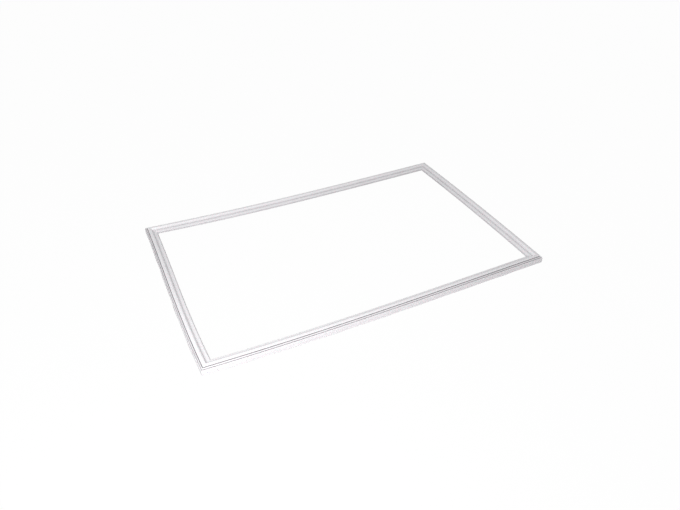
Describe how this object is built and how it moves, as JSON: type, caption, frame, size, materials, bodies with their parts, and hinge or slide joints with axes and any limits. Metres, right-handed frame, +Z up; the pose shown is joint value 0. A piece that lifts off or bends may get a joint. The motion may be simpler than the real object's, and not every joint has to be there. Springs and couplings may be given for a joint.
{
  "type": "refrigerator door gasket",
  "caption": "Rectangular magnetic door seal: a soft PVC loop with a flat sealing face, ribbed outer shoulder, thin skirt, folding bellows and push-in dart, holding magnet strips.",
  "frame": {"origin": "under the middle of the loop's bounding box, on the surface that the gasket lies on", "axes": "+X along the long sides, +Y along the short sides towards the back, +Z up, the way the sealing face looks"},
  "size_m": [0.9454, 0.5946, 0.0208],
  "materials": {
    "soft_pvc": "smooth satin white soft PVC",
    "magnet_strip": "matte dark brown ferrite-filled rubber"
  },
  "bodies": {
    "root": {"gasket_profile": "soft_pvc", "magnet_front": "magnet_strip", "magnet_back": "magnet_strip", "magnet_left": "magnet_strip", "magnet_right": "magnet_strip"}
  },
  "joints": []
}
